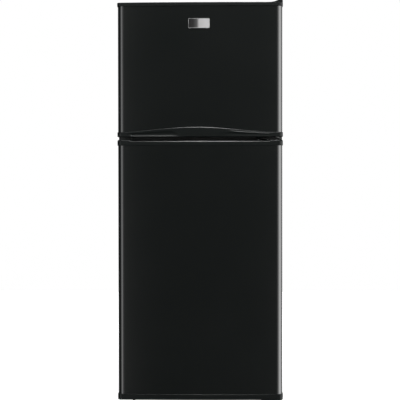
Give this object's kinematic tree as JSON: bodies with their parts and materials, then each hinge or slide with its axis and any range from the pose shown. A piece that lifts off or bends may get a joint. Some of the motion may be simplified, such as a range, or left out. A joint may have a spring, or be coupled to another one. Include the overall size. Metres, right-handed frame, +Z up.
{
  "type": "top freezer refrigerator",
  "caption": "Upright refrigerator with a freezer door above a fridge door, arched pull pocket between them, hinged on the right.",
  "frame": {"origin": "on the floor, under the middle of the whole object", "axes": "+Z up, -Y towards the doors' front, +X towards the hinge side"},
  "size_m": [0.602, 0.72, 1.518],
  "materials": {
    "black_enamel": "gloss",
    "black_plastic": "satin",
    "white_plastic": "satin",
    "clear_plastic": "gloss",
    "foam": "matte",
    "zinc_steel": "satin",
    "silver_plate": "satin",
    "grey_rubber": "matte",
    "white_rubber": "matte",
    "glass": "gloss",
    "fin_aluminium": "satin",
    "white_wire": "satin",
    "nylon": "satin",
    "lamp_plastic": "satin"
  },
  "bodies": {
    "cabinet": {"cabinet_wrap": "black_enamel", "cabinet_back": "zinc_steel", "cabinet_base": "zinc_steel", "cabinet_foam": "foam", "mullion_rail": "black_enamel", "freezer_liner": "white_plastic", "fridge_liner": "white_plastic", "top_hinge": "zinc_steel", "hinge_cover": "black_plastic", "centre_hinge": "black_enamel", "lower_hinge": "black_enamel", "hinge_screws": "zinc_steel", "machine_plate": "zinc_steel", "rear_cover": "zinc_steel", "cover_screws": "zinc_steel", "compressor": "black_enamel", "compressor_mounts": "grey_rubber", "drain_pan": "black_plastic", "cord_gland": "grey_rubber", "roller_brackets": "zinc_steel", "evaporator_cover": "white_plastic", "evaporator": "fin_aluminium", "fan_motor": "zinc_steel", "freezer_shelf": "white_wire", "control_housing": "white_plastic", "lamp_lens": "lamp_plastic", "crisper_cover": "glass", "lower_shelf_frame": "white_plastic", "lower_shelf_glass": "glass", "upper_shelf_frame": "white_plastic", "upper_shelf_glass": "glass"},
    "freezer_door": {"freezer_door_skin": "black_enamel", "freezer_door_top_cap": "black_plastic", "freezer_door_bottom_cap": "black_plastic", "freezer_door_foam": "foam", "freezer_door_liner": "white_plastic", "freezer_door_gasket": "white_rubber", "freezer_door_bushings": "nylon", "badge": "silver_plate"},
    "fridge_door": {"fridge_door_skin": "black_enamel", "fridge_door_top_cap": "black_plastic", "fridge_door_bottom_cap": "black_plastic", "fridge_door_foam": "foam", "fridge_door_liner": "white_plastic", "fridge_door_gasket": "white_rubber", "fridge_door_bushings": "nylon"},
    "freezer_bin_lower": {"freezer_bin_lower": "clear_plastic"},
    "freezer_bin_upper": {"freezer_bin_upper": "clear_plastic"},
    "fridge_bin_lower": {"fridge_bin_lower": "clear_plastic"},
    "fridge_bin_middle": {"fridge_bin_middle": "clear_plastic"},
    "fridge_bin_upper": {"fridge_bin_upper": "clear_plastic"},
    "left_crisper": {"left_crisper": "clear_plastic"},
    "right_crisper": {"right_crisper": "clear_plastic"},
    "light_switch": {"light_switch": "white_plastic"},
    "temperature_knob": {"temperature_knob": "white_plastic"},
    "fan_blade": {"fan_blade": "black_plastic"},
    "left_foot": {"left_foot": "black_plastic"},
    "right_foot": {"right_foot": "black_plastic"},
    "left_roller": {"left_roller": "nylon"},
    "right_roller": {"right_roller": "nylon"}
  },
  "joints": [
    {"name": "freezer_door_hinge", "type": "hinge", "parent": "cabinet", "child": "freezer_door", "pos_m": [0.279, -0.314, 1.25], "axis": [0, 0, 1], "range_deg": [0, 120]},
    {"name": "fridge_door_hinge", "type": "hinge", "parent": "cabinet", "child": "fridge_door", "pos_m": [0.279, -0.314, 0.5], "axis": [0, 0, 1], "range_deg": [0, 120]},
    {"name": "freezer_bin_lower_lift", "type": "slide", "parent": "freezer_door", "child": "freezer_bin_lower", "axis": [0, 0, 1], "range_m": [0, 0.03]},
    {"name": "freezer_bin_upper_lift", "type": "slide", "parent": "freezer_door", "child": "freezer_bin_upper", "axis": [0, 0, 1], "range_m": [0, 0.03]},
    {"name": "fridge_bin_lower_lift", "type": "slide", "parent": "fridge_door", "child": "fridge_bin_lower", "axis": [0, 0, 1], "range_m": [0, 0.03]},
    {"name": "fridge_bin_middle_lift", "type": "slide", "parent": "fridge_door", "child": "fridge_bin_middle", "axis": [0, 0, 1], "range_m": [0, 0.03]},
    {"name": "fridge_bin_upper_lift", "type": "slide", "parent": "fridge_door", "child": "fridge_bin_upper", "axis": [0, 0, 1], "range_m": [0, 0.03]},
    {"name": "left_crisper_slide", "type": "slide", "parent": "cabinet", "child": "left_crisper", "axis": [0, -1, 0], "range_m": [0, 0.078]},
    {"name": "right_crisper_slide", "type": "slide", "parent": "cabinet", "child": "right_crisper", "axis": [0, -1, 0], "range_m": [0, 0.078]},
    {"name": "light_switch_travel", "type": "slide", "parent": "cabinet", "child": "light_switch", "axis": [0, -1, 0], "range_m": [0, 0.006]},
    {"name": "temperature_knob_turn", "type": "hinge", "parent": "cabinet", "child": "temperature_knob", "pos_m": [0.07, -0.176, 0.93], "axis": [0, 0, 1], "range_deg": [0, 270]},
    {"name": "fan_spin", "type": "hinge", "parent": "cabinet", "child": "fan_blade", "pos_m": [0, 0.241, 1.33], "axis": [0, 1, 0], "continuous": true},
    {"name": "left_foot_turn", "type": "hinge", "parent": "cabinet", "child": "left_foot", "pos_m": [-0.25, -0.236, 0.01], "axis": [0, 0, 1], "continuous": true},
    {"name": "left_roller_spin", "type": "hinge", "parent": "cabinet", "child": "left_roller", "pos_m": [-0.228, 0.296, 0.018], "axis": [1, 0, 0], "continuous": true},
    {"name": "right_foot_turn", "type": "hinge", "parent": "cabinet", "child": "right_foot", "pos_m": [0.25, -0.236, 0.01], "axis": [0, 0, 1], "continuous": true},
    {"name": "right_roller_spin", "type": "hinge", "parent": "cabinet", "child": "right_roller", "pos_m": [0.228, 0.296, 0.018], "axis": [1, 0, 0], "continuous": true}
  ],
  "couplings": [
    {"joint": "light_switch_travel", "follows": "fridge_door_hinge", "m_per_rad": 0.00286}
  ]
}
